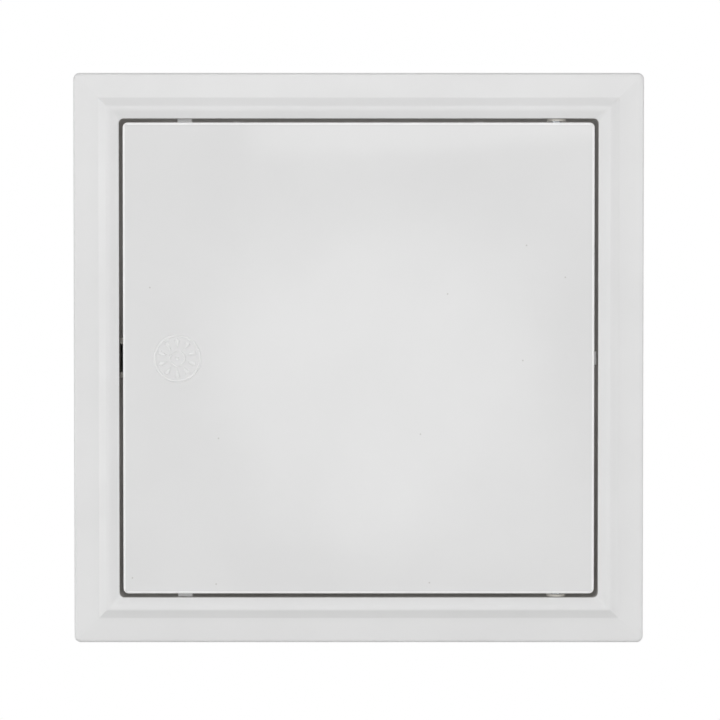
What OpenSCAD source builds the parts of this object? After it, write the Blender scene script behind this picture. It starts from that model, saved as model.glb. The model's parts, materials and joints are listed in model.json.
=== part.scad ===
// Push-to-open access panel: moulded frame, pivoted leaf and a spring touch latch.
// Millimetres, +Z up, front towards -Y. The origin is the centre of the wall cut-out,
// on the plane of the wall face, so the neck runs into the wall along +Y.

/* [Frame] */
// Outside width and height of the frame face
frame_size = 232; // [212:1:320]
// Face width from the outer edge to the opening
face_width = 18.6; // [18:0.1:22]
// Corner radius of the outer edge
corner_radius = 2.6; // [2:0.1:4]
// Height of the outer rim in front of the wall
rim_height = 4.2; // [3.8:0.1:4.8]
// Rounding of the outer edge
edge_round = 1.3; // [0.8:0.1:1.8]
// Where the broad band ends, in from the outer edge
band_end = 10.2; // [8:0.1:11]
// Height of the broad band at its inner end
band_height = 5.3; // [4.8:0.1:5.8]
// Where the raised bead has its top, in from the outer edge
crest_at = 14.3; // [13.6:0.1:14.8]
// Height of the raised bead
crest_height = 7.6; // [7:0.1:8.4]
// Radius of the top of the raised bead
crest_round = 1.5; // [1:0.1:2]
// Height of the lip beside the opening, level with the leaf
lip_height = 6; // [5.6:0.1:6.4]
// Rounding of the lip's inner edge
lip_round = 0.5; // [0.3:0.1:0.8]
// Corner radius of the opening
opening_radius = 3.2; // [2.6:0.1:5]
// Wall of the hollow face
shell = 2.2; // [1.8:0.1:2.4]
// Wall of the neck
neck_wall = 2; // [1.8:0.1:2.2]
// Depth of the neck behind the wall face
neck_depth = 42; // [40:1:70]
// Thickness of the webs behind the face
web_thick = 1.6; // [1.2:0.1:2.4]
// Distance between the webs
web_pitch = 38; // [30:1:39]
// Diameter of the fixing holes in the neck
fixing_dia = 4.5; // [3.5:0.1:5.5]
// Distance between the fixing holes of one wall
fixing_pitch = 100; // [60:1:120]
// Depth of the fixing holes behind the wall face
fixing_depth = 26; // [20:1:32]

/* [Push stops] */
// Distance of the stops from the centre of the panel
stop_at = 70.8; // [60:0.1:74]
// Width of a stop
stop_width = 5.9; // [4:0.1:8]
// Reach of a stop from the neck wall
stop_reach = 4.2; // [3:0.1:5]
// Thickness of a stop
stop_thick = 3; // [2:0.1:4]
// Free travel of the leaf up to the stops
stop_travel = 1.7; // [1.6:0.1:2]

/* [Leaf] */
// Gap round the leaf
leaf_gap = 1.6; // [1.5:0.1:2]
// Thickness of the leaf's plate
leaf_thick = 2.4; // [2.2:0.1:2.6]
// Corner radius of the leaf
leaf_radius = 2.8; // [2:0.1:4]
// Rounding of the leaf's front edge
leaf_edge = 0.7; // [0.4:0.1:1]
// Distance of the stiffening wall from the leaf's edge
wall_inset = 6; // [5.8:0.1:7]
// Distance of the stiffening wall from the edge on the latch side
latch_inset = 20; // [18:0.1:24]
// Thickness of the stiffening wall
wall_thick = 2; // [1.6:0.1:2.4]
// Depth of the stiffening wall behind the plate
wall_depth = 8; // [6:0.1:8.4]
// Thickness of the inner ribs
rib_thick = 1.5; // [1.2:0.1:2]
// Depth of the inner ribs behind the plate
rib_depth = 5; // [3:0.1:6]
// Width of the guide tab on the hinge side
tab_width = 5.4; // [4:0.1:8]
// Reach of the guide tab past the leaf's edge
tab_reach = 1.2; // [0.6:0.1:1.2]

/* [Push mark] */
// Distance of the push mark from the leaf's edge
mark_inset = 22.1; // [18:0.1:30]
// Outside diameter of the push mark
mark_dia = 19.4; // [14:0.1:22]
// Width of the raised ring
mark_ring = 0.8; // [0.5:0.1:1.2]
// Height of the raised marks
mark_height = 0.35; // [0.2:0.05:0.5]
// Number of raised ticks
mark_ticks = 10; // [6:1:12]
// Diameter of the raised disc in the middle
mark_disc = 6.6; // [4:0.1:7.4]

/* [Hinge] */
// Distance of the hinge axis from the leaf's edge
hinge_inset = 15.2; // [14.8:0.1:17]
// Diameter of the hinge pins
pin_dia = 4; // [3:0.1:4.4]
// Diameter of a pin's head
pin_head_dia = 6.6; // [5.6:0.1:6.6]
// Thickness of a pin's head
pin_head = 1.6; // [1.2:0.1:2]
// Radial clearance of a pin in its bores
running_fit = 0.05; // [0.02:0.01:0.1]
// Diameter of a bush in the neck wall
bush_dia = 6; // [5.6:0.1:6.4]
// Diameter of a bush's flange
bush_flange_dia = 7.7; // [7:0.1:8.4]
// Thickness of a bush's flange
bush_flange = 1; // [0.7:0.1:1]
// Radial clearance of a bush in its hole
bush_fit = 0.02; // [0.01:0.01:0.05]
// Outside diameter of an ear on the leaf
ear_dia = 9; // [8:0.1:9.6]
// Thickness of an ear's inner plate
ear_plate = 2.4; // [2:0.1:3]
// Distance of an ear's inner plate from the leaf's edge
ear_inset = 18; // [16:0.1:24]
// Diameter of a retaining clip
clip_dia = 6.6; // [6:0.1:6.6]
// Thickness of a retaining clip
clip_thick = 0.8; // [0.5:0.1:1]
// Depth of the groove that holds a clip
clip_groove = 0.4; // [0.3:0.1:0.6]
// End play between a pin's head or clip and the ear
pin_play = 0.3; // [0.2:0.05:0.4]

/* [Latch] */
// Height of the latch mouth
mouth_height = 11.4; // [11.4:0.1:13]
// Thickness of the latch cheeks
cheek = 2.4; // [2:0.1:3]
// Width of the space inside the latch
latch_width = 12; // [12:0.1:14]
// Wall of the latch towards the neck
latch_base = 2; // [1.6:0.1:2.4]
// Distance of the latch mouth behind the wall face
mouth_at = 1; // [0.8:0.1:2]
// Length of the latch
latch_length = 37; // [37:0.1:38]
// Thickness of the latch's rear wall
latch_rear = 2; // [1.6:0.1:2.4]
// Thickness of the latch cover
cover_thick = 2; // [1.8:0.1:2.6]
// Clearance of the sliding carriage
slide_fit = 0.3; // [0.3:0.05:0.4]
// Height of the screw posts on the neck wall
post_height = 6; // [4:0.1:7]
// Diameter of the screw posts
post_dia = 7; // [6:0.1:8]
// Distance of the screws from the middle of the latch
screw_at = 12.4; // [12:0.1:14]
// Shank diameter of the latch screws
screw_dia = 3; // [2.5:0.1:3.2]
// Head diameter of the latch screws
screw_head_dia = 5.6; // [5:0.1:6.4]
// Head height of the latch screws
screw_head = 2; // [1.6:0.1:2.4]
// Width of the cross slot in a screw's head
cross_slot = 0.8; // [0.6:0.1:1]
// Distance of the screws behind the latch mouth
screw_depth = 23; // [21:0.1:25]
// Thread length of the latch screws in the posts
screw_bite = 5; // [3:0.1:5.5]

/* [Latch carriage and jaws] */
// Length of the carriage
carriage_length = 16.6; // [16.6:0.1:17]
// Distance of the carriage behind the latch mouth
carriage_at = 8.4; // [8.4:0.05:8.6]
// Distance of the track's notch behind the carriage's front
notch_at = 11.1; // [10.9:0.05:11.3]
// Width of the jaws
jaw_width = 6.4; // [5:0.1:6.6]
// Distance of the jaw pins from the middle
jaw_at = 4; // [3.9:0.05:4]
// Distance of the jaw pins behind the carriage's front
jaw_pin_at = 4.6; // [4.4:0.05:4.8]
// Diameter of the jaw pins
jaw_pin_dia = 1.5; // [1.2:0.1:1.6]
// Wall of a jaw round its pin
jaw_eye = 0.55; // [0.45:0.05:0.6]
// Half opening of the closed jaws
jaw_nip = 1.6; // [1.5:0.05:1.7]
// Half width of the striker's head
head_half = 2.5; // [2.3:0.05:2.6]
// Thickness of the striker's neck
neck_thick = 1.8; // [1.4:0.1:1.8]
// Distance of the striker's shoulder behind the latch mouth
shoulder_at = 4.3; // [4.2:0.05:4.4]
// Width of the striker
striker_width = 6; // [5:0.1:7]
// Thickness of the striker's foot
foot_thick = 1.4; // [1.2:0.1:1.6]
// Length of the striker's foot
foot_length = 12; // [11:0.1:14]
// Clearance of the striker's foot in its rails
foot_fit = 0.15; // [0.1:0.05:0.2]
// Wall of the rails
rail_wall = 1.4; // [1.2:0.1:1.6]
// Overlap of the rails on the foot
rail_grip = 1.1; // [0.8:0.1:1.4]
// Depth of the heart track
track_depth = 1.6; // [1.4:0.1:1.8]
// Diameter of the track pin's wire
track_wire = 1; // [0.8:0.1:1]
// Length of the track pin
track_pin_length = 12.5; // [12:0.1:13]
// Outside diameter of the spring
spring_dia = 6; // [5:0.1:6]
// Wire of the spring
spring_wire = 0.7; // [0.5:0.05:0.8]
// Turns of the spring
spring_turns = 8; // [6:1:10]
// Depth of the spring's pocket in the carriage
pocket_depth = 6; // [4:0.1:6]

/* [Hidden] */
$fn = 64;
white = [0.88, 0.88, 0.87];
pale = [0.8, 0.81, 0.8];
grey = [0.55, 0.56, 0.57];
steel = [0.7, 0.71, 0.72];
bite = 0.5;
half = frame_size / 2;
opening = half - face_width;
neck_out = opening + neck_wall;
neck_in_face = face_width - neck_wall;
leaf_half = opening - leaf_gap;
leaf_front = -lip_height;
leaf_back = leaf_front + leaf_thick;
hinge_x = leaf_half - hinge_inset;
pin_bore = pin_dia + 2 * running_fit;
latch_wall_x = -opening;
latch_low_x = latch_wall_x + latch_base;
latch_high_x = latch_low_x + latch_width;
latch_x = (latch_low_x + latch_high_x) / 2;
mouth_half = mouth_height / 2;
latch_end = mouth_at + latch_length;
screw_y = mouth_at + screw_depth;
carriage_front = mouth_at + carriage_at;
carriage_rear = carriage_front + carriage_length;
carriage_half_x = latch_width / 2 - slide_fit;
carriage_half_z = mouth_half - slide_fit;
jaw_y = carriage_front + jaw_pin_at;
eye_r = jaw_pin_dia / 2 + jaw_eye;
spring_y = carriage_rear - pocket_depth + 0.1;
spring_end = latch_end - latch_rear - 0.1;
track_y = carriage_front + notch_at;
track_x = latch_high_x + 0.35;
anchor_y = track_y + track_pin_length;
ear_z = leaf_half - ear_inset;
clip_z = ear_z + ear_plate + pin_play;
shoulder = mouth_at + shoulder_at;
tick_in = mark_disc / 2 + 0.9;
tick_out = mark_dia / 2 - mark_ring - 0.9;

// Height of the broad band at a distance from the outer edge
function band_at(t) = rim_height + (band_height - rim_height) * (t - edge_round) / (band_end - edge_round);

// Square with round corners, centred
module round_square(w, r) {
  square([w - 2 * r, w], center = true);
  square([w, w - 2 * r], center = true);
  for (a = [-1, 1], b = [-1, 1])
    translate([a * (w / 2 - r), b * (w / 2 - r)]) circle(r);
}

// Flat outline in X and Z, given depth along Y from a start
module depth_y(from, to) {
  translate([0, to, 0]) rotate([90, 0, 0]) linear_extrude(to - from) children();
}

// Outline drawn in Y and Z, given width along X
module width_x(from, to) {
  translate([from, 0, 0]) rotate([90, 0, 90]) linear_extrude(to - from) children();
}

// Rod along X, Y or Z
module rod_x(r, from, to, y, z) {
  translate([from, y, z]) rotate([0, 90, 0]) cylinder(r = r, h = to - from);
}
module rod_y(r, from, to, x, z) {
  translate([x, from, z]) rotate([-90, 0, 0]) cylinder(r = r, h = to - from);
}
module rod_z(r, from, to, x, y) {
  translate([x, y, from]) cylinder(r = r, h = to - from);
}

// Box given by its corners
module box(x0, x1, y0, y1, z0, z1) {
  translate([x0, y0, z0]) cube([x1 - x0, y1 - y0, z1 - z0]);
}

// Section of the face: t runs in from the outer edge, h out from the wall
module face_section() {
  difference() {
    union() {
      polygon([[0, 0], [0, rim_height - edge_round], [edge_round, rim_height],
        [band_end, band_height], [crest_at - crest_round * 0.8, crest_height - crest_round * 0.4],
        [crest_at, crest_height - 0.1], [crest_at + crest_round * 0.4, crest_height - crest_round * 0.08],
        [face_width - lip_round * 1.4, lip_height], [face_width, lip_height - lip_round], [face_width, 0]]);
      translate([edge_round, rim_height - edge_round]) circle(edge_round);
      translate([crest_at, crest_height - crest_round]) circle(crest_round);
      translate([face_width - lip_round, lip_height - lip_round]) circle(lip_round);
    }
    hollow_section(-1);
  }
}

// Section of the hollow behind the face
module hollow_section(from) {
  polygon([[corner_radius, from], [corner_radius, band_at(corner_radius) - shell],
    [band_end + 0.4, band_height - shell], [crest_at - 0.8, crest_height - shell - 0.4],
    [neck_in_face, crest_height - shell - 0.4], [neck_in_face, from]]);
}

// Section of a web, which reaches into the walls round the hollow
module web_section() {
  polygon([[corner_radius - bite, bite], [corner_radius - bite, band_at(corner_radius) - shell + bite],
    [band_end + 0.4, band_height - shell + bite], [crest_at - 0.8, crest_height - shell - 0.4 + bite],
    [neck_in_face + bite, crest_height - shell - 0.4 + bite], [neck_in_face + bite, bite]]);
}

// Right-hand bar of a section, along Z
module bar(length) {
  linear_extrude(length, center = true) translate([half, 0]) rotate(180) children();
}

// Face ring: four mitred bars with turned outer corners
module face_ring() {
  difference() {
    for (k = [0:3]) rotate([0, 90 * k, 0]) intersection() {
      bar(frame_size) face_section();
      depth_y(-20, 20) polygon([[0, 0], [half + 5, -half - 5], [half + 5, half + 5]]);
    }
    for (a = [-1, 1], b = [-1, 1])
      translate([a * half, 0, b * half]) cube([2 * corner_radius, half, 2 * corner_radius], center = true);
  }
  for (a = [-1, 1], b = [-1, 1])
    translate([a * (half - corner_radius), 0, b * (half - corner_radius)])
      rotate([90, 0, 0]) rotate_extrude() intersection() {
        translate([corner_radius, 0]) mirror([1, 0]) rim_section();
        translate([0, 0]) square([corner_radius, 20]);
      }
}

// Outer stretch of the face section, for the turned corners
module rim_section() {
  polygon([[0, 0], [0, rim_height - edge_round], [edge_round, rim_height],
    [corner_radius, band_at(corner_radius)], [corner_radius, 0]]);
  translate([edge_round, rim_height - edge_round]) circle(edge_round);
}

module frame() {
  color(white) difference() {
    union() {
      face_ring();
      // neck and the round corners of the opening
      depth_y(-3, neck_depth) difference() {
        round_square(2 * neck_out, opening_radius + neck_wall);
        round_square(2 * opening, opening_radius);
      }
      depth_y(-lip_height + 0.1, 0) difference() {
        square(2 * opening + 2, center = true);
        round_square(2 * opening, opening_radius);
        square([2 * opening + 4, 2 * (opening - opening_radius)], center = true);
        square([2 * (opening - opening_radius), 2 * opening + 4], center = true);
      }
      // webs behind the face
      for (k = [0:3]) rotate([0, 90 * k, 0]) for (p = [-2:2])
        translate([0, 0, p * web_pitch]) bar(web_thick) web_section();
      // push stops
      for (s = [-1, 1]) mirror([0, 0, s < 0 ? 1 : 0]) push_stop();
      // posts for the latch screws
      for (s = [-1, 1])
        rod_x(post_dia / 2, latch_wall_x - 1, latch_wall_x + post_height, screw_y, s * screw_at);
    }
    // holes for the hinge bushes
    for (s = [-1, 1])
      rod_z(bush_dia / 2 + bush_fit, s > 0 ? opening - 1 : -neck_out - 1, s > 0 ? neck_out + 1 : 1 - opening,
        hinge_x, 0);
    // fixing holes in the upper and lower walls of the neck
    for (s = [-1, 1], p = [-0.5, 0.5])
      rod_z(fixing_dia / 2, s > 0 ? opening - 1 : -neck_out - 1, s > 0 ? neck_out + 1 : 1 - opening,
        p * fixing_pitch, fixing_depth);
    // screw holes in the posts
    for (s = [-1, 1])
      rod_x(screw_dia / 2, latch_wall_x + post_height - screw_bite - 0.6, latch_wall_x + post_height + 1,
        screw_y, s * screw_at);
  }
}

// Upper push stop, on a small bracket
module push_stop() {
  stop_front = leaf_back + stop_travel;
  box(-stop_at - stop_width / 2, -stop_at + stop_width / 2, stop_front, stop_front + stop_thick,
    opening - stop_reach, opening + neck_wall / 2);
  width_x(-stop_at - 0.8, -stop_at + 0.8)
    polygon([[stop_front, opening - stop_reach], [stop_front + stop_thick, opening - stop_reach],
      [stop_front + stop_thick + 5, opening], [stop_front + stop_thick + 5, opening + 0.5],
      [stop_front, opening + 0.5]]);
}

module hinge_bush() {
  color(pale) difference() {
    union() {
      rod_z(bush_flange_dia / 2, opening - bush_flange, opening, hinge_x, 0);
      rod_z(bush_dia / 2, opening - 0.5, neck_out, hinge_x, 0);
    }
    rod_z(pin_bore / 2, opening - 5, neck_out + 1, hinge_x, 0);
  }
}

module hinge_bush_upper() {
  hinge_bush();
}

module hinge_bush_lower() {
  mirror([0, 0, 1]) hinge_bush();
}

module hinge_pin() {
  color(steel) difference() {
    union() {
      rod_z(pin_dia / 2, ear_z - pin_play - pin_head / 2, neck_out - pin_play, hinge_x, 0);
      rod_z(pin_head_dia / 2, ear_z - pin_play - pin_head, ear_z - pin_play, hinge_x, 0);
    }
    difference() {
      rod_z(pin_dia / 2 + 1, clip_z - 0.05, clip_z + clip_thick + 0.05, hinge_x, 0);
      rod_z(pin_dia / 2 - clip_groove, clip_z - 1, clip_z + clip_thick + 1, hinge_x, 0);
    }
  }
}

module hinge_pin_upper() {
  hinge_pin();
}

module hinge_pin_lower() {
  mirror([0, 0, 1]) hinge_pin();
}

module pin_clip() {
  difference() {
    rod_z(clip_dia / 2, clip_z, clip_z + clip_thick, hinge_x, 0);
    rod_z(pin_dia / 2 - clip_groove + 0.02, clip_z - 1, clip_z + clip_thick + 1, hinge_x, 0);
    box(hinge_x - pin_dia * 0.32, hinge_x + pin_dia * 0.32, 0, clip_dia, clip_z - 1, clip_z + clip_thick + 1);
    for (a = [35, 145])
      rod_z(0.7, clip_z - 1, clip_z + clip_thick + 1,
        hinge_x + (clip_dia / 2 - 0.4) * cos(a), (clip_dia / 2 - 0.4) * sin(a));
  }
}

module pin_clips() {
  color(steel) {
    pin_clip();
    mirror([0, 0, 1]) pin_clip();
  }
}

// Edge section of the leaf's plate: u runs in from the edge, v back from the front
module leaf_edge_section() {
  translate([leaf_edge, 0]) square([leaf_radius - leaf_edge + bite, leaf_thick]);
  translate([0, leaf_edge]) square([leaf_radius + bite, leaf_thick - leaf_edge]);
  translate([leaf_edge, leaf_edge]) circle(leaf_edge);
}

module leaf_plate() {
  inner = leaf_half - leaf_radius;
  translate([0, leaf_front, 0]) {
    translate([-inner, 0, -inner]) cube([2 * inner, leaf_thick, 2 * inner]);
    for (k = [0:3]) rotate([0, 90 * k, 0]) linear_extrude(2 * inner, center = true)
      translate([leaf_half, 0]) mirror([1, 0]) leaf_edge_section();
    for (a = [-1, 1], b = [-1, 1])
      translate([a * inner, 0, b * inner]) rotate([-90, 0, 0]) rotate_extrude()
        intersection() {
          translate([leaf_radius, 0]) mirror([1, 0]) leaf_edge_section();
          square([leaf_radius, leaf_thick]);
        }
  }
}

// Stiffening wall and ribs on the back of the leaf
module leaf_stiffeners() {
  left = -leaf_half + latch_inset;
  right = leaf_half - wall_inset;
  high = leaf_half - wall_inset;
  from = leaf_back - bite;
  depth_y(from, leaf_back + wall_depth) difference() {
    polygon([[left, -high], [right, -high], [right, high], [left, high]]);
    polygon([[left + wall_thick, -high + wall_thick], [right - wall_thick, -high + wall_thick],
      [right - wall_thick, high - wall_thick], [left + wall_thick, high - wall_thick]]);
  }
  for (i = [1:3])
    translate([left + (right - left) * i / 4 - rib_thick / 2, from, -high + wall_thick / 2])
      cube([rib_thick, rib_depth + bite, 2 * high - wall_thick]);
  for (i = [-1:1])
    translate([left + wall_thick / 2, from, i * high / 2 - rib_thick / 2])
      cube([right - left - wall_thick, rib_depth + bite, rib_thick]);
  // short ribs beside the latch
  for (p = [-0.75, -0.5, -0.25, 0.25, 0.5, 0.75])
    translate([-leaf_half + 3, from, p * high - rib_thick / 2])
      cube([latch_inset - 3 + wall_thick / 2, rib_depth - 1, rib_thick]);
}

// Upper hinge ear, before its bore
module hinge_ear() {
  ear_r = ear_dia / 2;
  // inner plate
  depth = wall_depth + leaf_back;
  box(hinge_x - ear_r, hinge_x + ear_r, leaf_back - bite, depth, ear_z, ear_z + ear_plate);
  box(hinge_x - ear_r, leaf_half - wall_inset - wall_thick / 2, leaf_back - bite, depth, ear_z, ear_z + ear_plate);
  // outer boss
  rod_z(ear_r, leaf_half - wall_inset - bite, leaf_half - bite, hinge_x, 0);
  box(hinge_x - ear_r, hinge_x + ear_r, leaf_back - bite, 0, leaf_half - wall_inset - bite, leaf_half - bite);
}

// Rails that hold the striker's foot
module striker_rails() {
  foot_half = foot_length / 2;
  top = leaf_back + foot_thick + 2 * foot_fit;
  for (s = [-1, 1]) mirror([0, 0, s < 0 ? 1 : 0]) {
    box(latch_x - 5, latch_x + 6, leaf_back - bite, top + 0.8, foot_half + foot_fit, foot_half + foot_fit + rail_wall);
    box(latch_x - 5, latch_x + 6, top, top + 0.8, foot_half - rail_grip, foot_half + foot_fit + rail_wall);
  }
  // end stop of the rails
  box(latch_x - 5, latch_x - 3.6 - foot_fit, leaf_back - bite, top + bite, -foot_half - bite, foot_half + bite);
}

// Raised push mark on the front
module push_mark() {
  translate([-leaf_half + mark_inset, leaf_front, 0]) depth_y(-mark_height, 0.3) {
    difference() {
      circle(mark_dia / 2);
      circle(mark_dia / 2 - mark_ring);
    }
    difference() {
      circle(mark_disc / 2);
      circle(mark_disc / 2 - 0.6);
    }
    circle(0.6);
    for (i = [0:mark_ticks - 1]) rotate(360 * (i + 0.5) / mark_ticks)
      polygon([[tick_in, 0], [tick_out - 0.5, -1.15], [tick_out, 0], [tick_out - 0.5, 1.15]]);
  }
}

module door_leaf() {
  color(white) difference() {
    union() {
      leaf_plate();
      leaf_stiffeners();
      for (s = [-1, 1]) mirror([0, 0, s < 0 ? 1 : 0]) hinge_ear();
      striker_rails();
      push_mark();
      // guide tab on the hinge side
      box(leaf_half - 3, leaf_half - 0.8, leaf_back - bite, 1, -tab_width / 2, tab_width / 2);
      box(leaf_half - 3, leaf_half + tab_reach, -1.4, 1, -tab_width / 2, tab_width / 2);
    }
    for (s = [-1, 1])
      rod_z(pin_bore / 2, s > 0 ? ear_z - 1 : -leaf_half - 1, s > 0 ? leaf_half + 1 : 1 - ear_z, hinge_x, 0);
  }
}

// Striker: foot, flat neck and arrow head
module striker() {
  foot_front = leaf_back + foot_fit;
  tip = carriage_front - 0.4;
  n = neck_thick / 2;
  color(pale) {
    box(latch_x - 3.6, latch_x + 4.4, foot_front, foot_front + foot_thick, -foot_length / 2, foot_length / 2);
    width_x(latch_x - striker_width / 2, latch_x + striker_width / 2)
      polygon([[foot_front + 0.2, -n - 1.2], [foot_front + foot_thick, -n - 1.2], [foot_front + foot_thick + 1.2, -n],
        [shoulder, -n], [shoulder, -head_half], [shoulder + 1.3, -head_half], [tip, -0.8],
        [tip, 0.8], [shoulder + 1.3, head_half], [shoulder, head_half], [shoulder, n],
        [foot_front + foot_thick + 1.2, n], [foot_front + foot_thick, n + 1.2], [foot_front + 0.2, n + 1.2]]);
  }
}

// Lug that takes a latch screw, from one X to another
module screw_lug(from, to) {
  for (s = [-1, 1]) {
    rod_x(post_dia / 2, from, to, screw_y, s * screw_at);
    mirror([0, 0, s < 0 ? 1 : 0])
      box(from, to, screw_y - post_dia / 2, screw_y + post_dia / 2, mouth_half + cheek - bite, screw_at);
  }
}

module screw_lug_holes(from, to) {
  for (s = [-1, 1]) rod_x(screw_dia / 2 + 0.2, from, to, screw_y, s * screw_at);
}

module latch_housing() {
  outer = mouth_half + cheek;
  color(pale) difference() {
    union() {
      difference() {
        box(latch_wall_x, latch_high_x, mouth_at, latch_end, -outer, outer);
        box(latch_low_x, latch_high_x + 1, mouth_at - 1, latch_end - latch_rear, -mouth_half, mouth_half);
        // the base is cut away behind the mouth
        box(latch_wall_x - 1, latch_low_x + 1, mouth_at - 1, mouth_at + 13, -mouth_half, mouth_half);
      }
      screw_lug(latch_wall_x + post_height, latch_high_x);
      // seat of the spring
      rod_y(spring_dia / 2 - spring_wire - 0.3, latch_end - latch_rear - 3, latch_end - latch_rear + 0.5, latch_x, 0);
    }
    screw_lug_holes(latch_wall_x, latch_high_x + 1);
  }
}

module latch_cover() {
  outer = mouth_half + cheek;
  color(grey) difference() {
    union() {
      box(latch_high_x, latch_high_x + cover_thick, mouth_at, latch_end, -outer, outer);
      screw_lug(latch_high_x, latch_high_x + cover_thick);
    }
    screw_lug_holes(latch_high_x - 1, latch_high_x + cover_thick + 1);
    // space for the track pin and the hole for its hook
    box(latch_high_x - 1, latch_high_x + 1, track_y - 2, anchor_y + 1.5, -2.6, 2.6);
    rod_x(track_wire / 2 + 0.05, latch_high_x - 1, latch_high_x + cover_thick + 1, anchor_y, 0);
  }
}

module latch_screws() {
  top = latch_high_x + cover_thick;
  color(steel) for (s = [-1, 1]) {
    rod_x(screw_dia / 2 - 0.02, latch_wall_x + post_height - screw_bite, top + 0.2, screw_y, s * screw_at);
    difference() {
      rod_x(screw_head_dia / 2, top, top + screw_head, screw_y, s * screw_at);
      translate([top + screw_head, screw_y, s * screw_at]) {
        cube([screw_head, screw_head_dia * 0.6, cross_slot], center = true);
        cube([screw_head, cross_slot, screw_head_dia * 0.6], center = true);
      }
    }
  }
}

// Round wire along a helix about the Y axis of the latch
module latch_spring() {
  sides = 8;
  steps = spring_turns * 18;
  r = (spring_dia - spring_wire) / 2;
  w = spring_wire / 2;
  from = spring_y + w;
  rise = (spring_end - w - from) / steps;
  points = [for (i = [0:steps], j = [0:sides - 1])
    let (a = i * 20, b = j * 360 / sides, q = r + w * cos(b))
      [latch_x + q * cos(a), from + rise * i + w * sin(b), q * sin(a)]];
  color(steel) polyhedron(points, concat(
    [[for (j = [0:sides - 1]) j]],
    [for (i = [0:steps - 1], j = [0:sides - 1])
      [i * sides + j, (i + 1) * sides + j, (i + 1) * sides + (j + 1) % sides, i * sides + (j + 1) % sides]],
    [[for (j = [sides - 1:-1:0]) steps * sides + j]]));
}

// Hooked wire that rides in the heart track
module track_pin() {
  r = track_wire / 2;
  color(steel) {
    rod_y(r, track_y, anchor_y, track_x, 0);
    translate([track_x, track_y, 0]) sphere(r);
    translate([track_x, anchor_y, 0]) sphere(r);
    rod_x(r, latch_x + carriage_half_x - track_depth + 0.2, track_x, track_y, 0);
    rod_x(r, track_x, latch_high_x + cover_thick - 0.2, anchor_y, 0);
  }
}

// Outline of the heart track in Y and Z, island left standing
module heart_track() {
  difference() {
    polygon([[track_y - 2.4, -1.6], [track_y - 1.4, -3], [track_y + 1.2, -3.1], [track_y + 4.6, -1.3],
      [carriage_rear + 1, -1.3], [carriage_rear + 1, 1.3], [track_y + 4.6, 1.3], [track_y + 1.2, 3.1],
      [track_y - 1.4, 3], [track_y - 2.4, 1.6], [track_y - 1.9, 0.3]]);
    difference() {
      polygon([[track_y - 0.2, -1.5], [track_y + 0.6, -1.6], [track_y + 3.6, 0], [track_y + 0.6, 1.6],
        [track_y - 0.2, 1.5]]);
      translate([track_y, 0]) circle(track_wire / 2 + 0.1);
      translate([track_y - 1, 0]) square([2, track_wire + 0.2], center = true);
    }
  }
}

module latch_carriage() {
  slot = jaw_width / 2 + slide_fit;
  web = jaw_at - eye_r - slide_fit;
  color(grey) difference() {
    box(latch_x - carriage_half_x, latch_x + carriage_half_x, carriage_front, carriage_rear,
      -carriage_half_z, carriage_half_z);
    // slots of the jaws and bores of their pins
    for (s = [-1, 1]) mirror([0, 0, s < 0 ? 1 : 0]) {
      box(latch_x - slot, latch_x + slot, carriage_front - 1, jaw_y + eye_r + 0.6, web, carriage_half_z + 1);
      rod_x(jaw_pin_dia / 2 + 0.01, latch_x - carriage_half_x - 1, latch_x + carriage_half_x + 1, jaw_y, jaw_at);
    }
    // pocket of the spring
    rod_y(spring_dia / 2 + 0.3, carriage_rear - pocket_depth, carriage_rear + 1, latch_x, 0);
    // heart track
    width_x(latch_x + carriage_half_x - track_depth, latch_x + carriage_half_x + 1) heart_track();
  }
}

module jaw_pin() {
  color(steel) rod_x(jaw_pin_dia / 2, latch_x - carriage_half_x, latch_x + carriage_half_x, jaw_y, jaw_at);
}

module jaw_pin_upper() {
  jaw_pin();
}

module jaw_pin_lower() {
  mirror([0, 0, 1]) jaw_pin();
}

// Upper jaw: eye, arm and hook
module jaw() {
  inner = head_half + 0.65;
  color(pale) difference() {
    union() {
      rod_x(eye_r, latch_x - jaw_width / 2, latch_x + jaw_width / 2, jaw_y, jaw_at);
      width_x(latch_x - jaw_width / 2, latch_x + jaw_width / 2)
        polygon([[jaw_y - 0.3, jaw_at - eye_r + 0.1], [jaw_y - 2, inner], [shoulder - 0.3, inner],
          [shoulder - 0.3, jaw_nip], [shoulder - 1.5, jaw_nip], [shoulder - 2.1, jaw_nip + 0.9],
          [shoulder - 2.1, jaw_at + 0.4], [shoulder - 1.6, jaw_at + 0.7], [shoulder + 0.7, jaw_at + 0.45],
          [jaw_y - 4, jaw_at + 0.9], [jaw_y - 0.3, jaw_at + eye_r - 0.1]]);
    }
    rod_x(jaw_pin_dia / 2 + running_fit, latch_x - 10, latch_x + 10, jaw_y, jaw_at);
  }
}

module jaw_upper() {
  jaw();
}

module jaw_lower() {
  mirror([0, 0, 1]) jaw();
}

frame();
hinge_bush_upper();
hinge_bush_lower();
latch_housing();
latch_cover();
latch_screws();
latch_spring();
track_pin();
hinge_pin_upper();
hinge_pin_lower();
pin_clips();
door_leaf();
striker();
latch_carriage();
jaw_pin_upper();
jaw_pin_lower();
jaw_upper();
jaw_lower();
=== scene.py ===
"""Push-to-open access panel, dressed for the eye.

Metres, +Z up, the face towards -Y. The origin is the middle of the wall cut-out, on the wall
face, as in the part's source. Sizes of the panel repeat the source's, in millimetres, and MM
turns them to metres.
"""

import json
import math

import bmesh
import bpy
from mathutils import Matrix, Vector


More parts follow.
